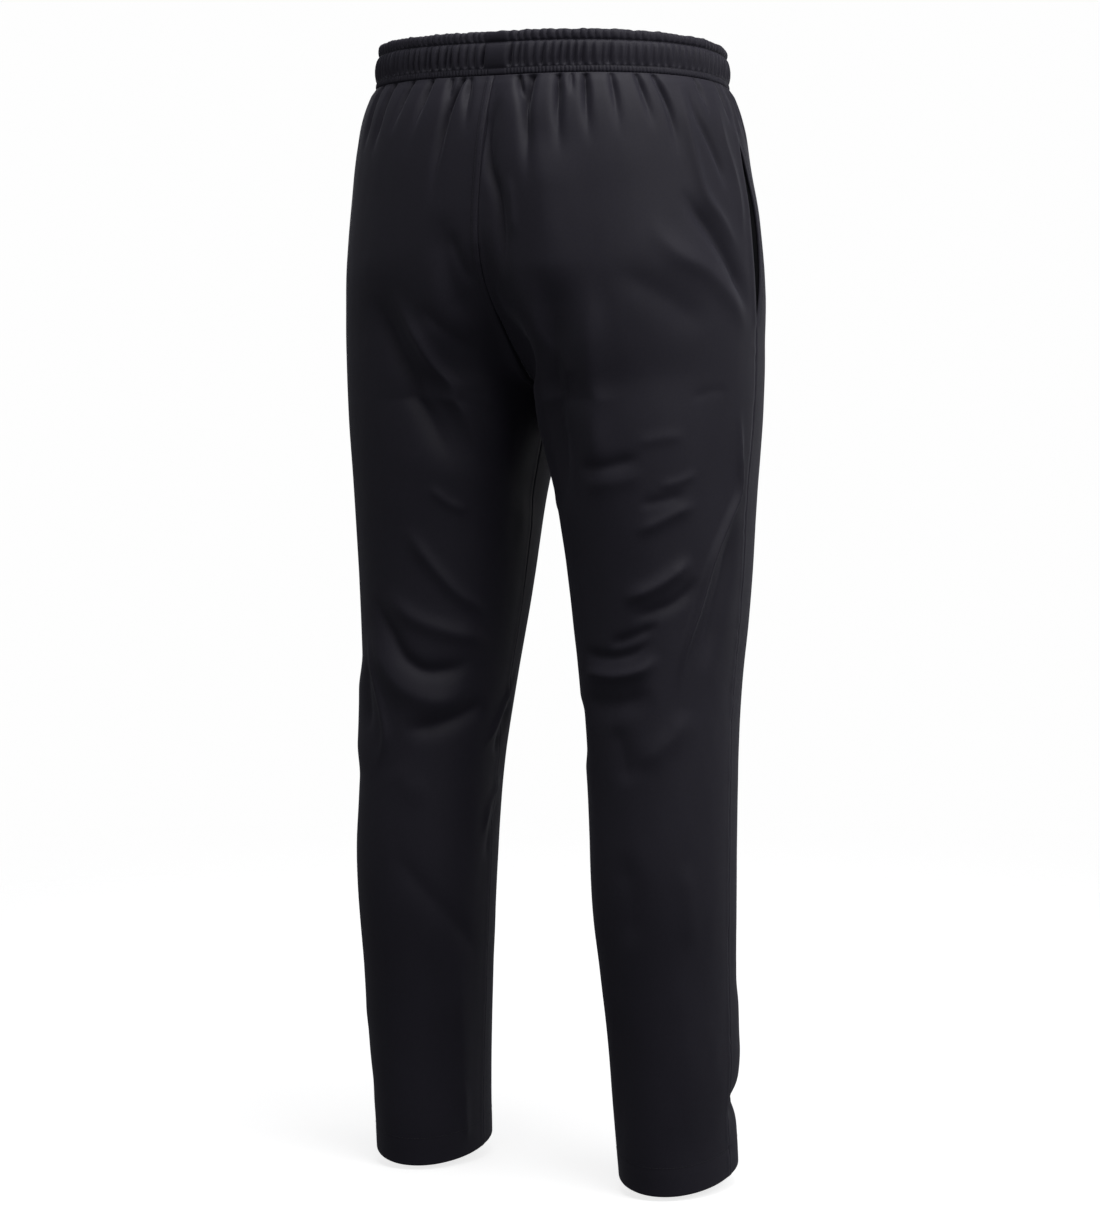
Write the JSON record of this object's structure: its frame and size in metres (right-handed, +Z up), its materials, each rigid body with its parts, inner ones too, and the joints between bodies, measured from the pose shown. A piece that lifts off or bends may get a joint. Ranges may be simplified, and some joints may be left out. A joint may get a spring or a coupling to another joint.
{
  "type": "track pants",
  "caption": "Knit track pants, filled out as if worn: gathered elastic waistband, side-seam pockets, tapered straight legs with turned-up hems.",
  "frame": {"origin": "the middle of the waistband, centred in the waist opening, where the wearer holds the garment up", "axes": "+Z up towards the waist; the front faces -Y and the wearer's left is +X"},
  "size_m": [0.4082, 0.2669, 1.0574],
  "materials": {
    "panel_knit": "matt black double-knit polyester with a soft sheen",
    "waistband_knit": "the same knit, gathered over elastic into fine upright ridges",
    "pocket_knit": "plain black pocket knit, matt",
    "hem_knit": "the inner face of the knit, matt"
  },
  "bodies": {
    "root": {"waistband": "waistband_knit", "back_left": "panel_knit", "back_right": "panel_knit", "front_left": "panel_knit", "front_right": "panel_knit", "pocket_left": "pocket_knit", "pocket_right": "pocket_knit", "hem_left": "hem_knit", "hem_right": "hem_knit"}
  },
  "joints": []
}
